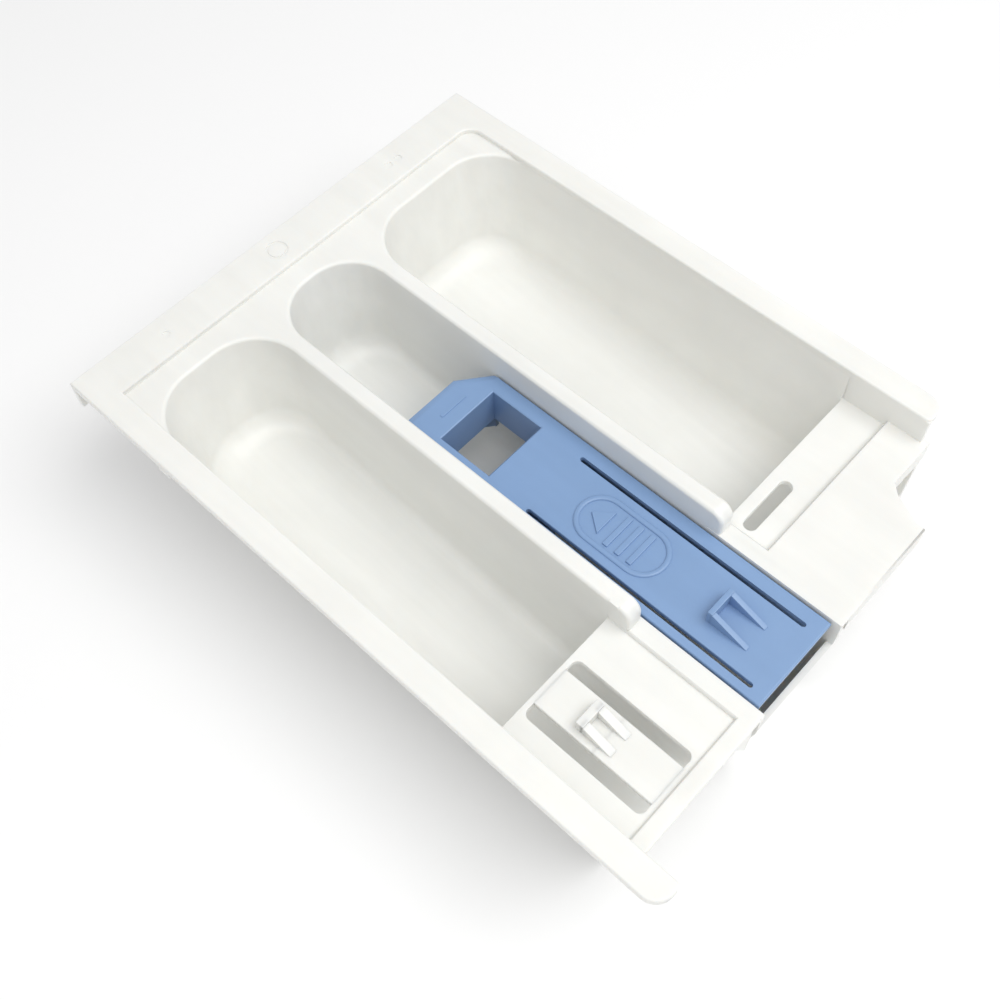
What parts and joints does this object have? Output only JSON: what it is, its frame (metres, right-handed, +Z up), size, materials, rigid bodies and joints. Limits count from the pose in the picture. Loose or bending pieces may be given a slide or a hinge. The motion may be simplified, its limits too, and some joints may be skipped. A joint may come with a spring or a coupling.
{
  "type": "washing machine detergent drawer",
  "caption": "Detergent drawer tray of a front-loading washing machine, with sloping dosing bins, a lift-out siphon cover and springy stop tongues.",
  "frame": {"origin": "bottom centre of the drawer's bounding box, on the surface that its runner ribs stand on", "axes": "+X to the user's right, +Y into the machine, +Z up"},
  "size_m": [0.1926, 0.262, 0.068],
  "materials": {
    "white_plastic": "smooth satin moulded polypropylene",
    "blue_plastic": "smooth satin moulded polypropylene"
  },
  "bodies": {
    "tray": {"drawer_tray": "white_plastic"},
    "cover": {"siphon_cover": "blue_plastic"},
    "release": {"release_tongue": "blue_plastic"},
    "stop": {"stop_tongue": "white_plastic"}
  },
  "joints": [
    {"name": "cover_lift", "type": "slide", "parent": "tray", "child": "cover", "axis": [0, 0, 1], "range_m": [0, 0.055]},
    {"name": "release_press", "type": "slide", "parent": "cover", "child": "release", "axis": [0, 0, -1], "range_m": [0, 0.003], "stiffness_N_per_m": 1500},
    {"name": "stop_press", "type": "slide", "parent": "tray", "child": "stop", "axis": [0, 0, -1], "range_m": [0, 0.002], "stiffness_N_per_m": 2500}
  ]
}
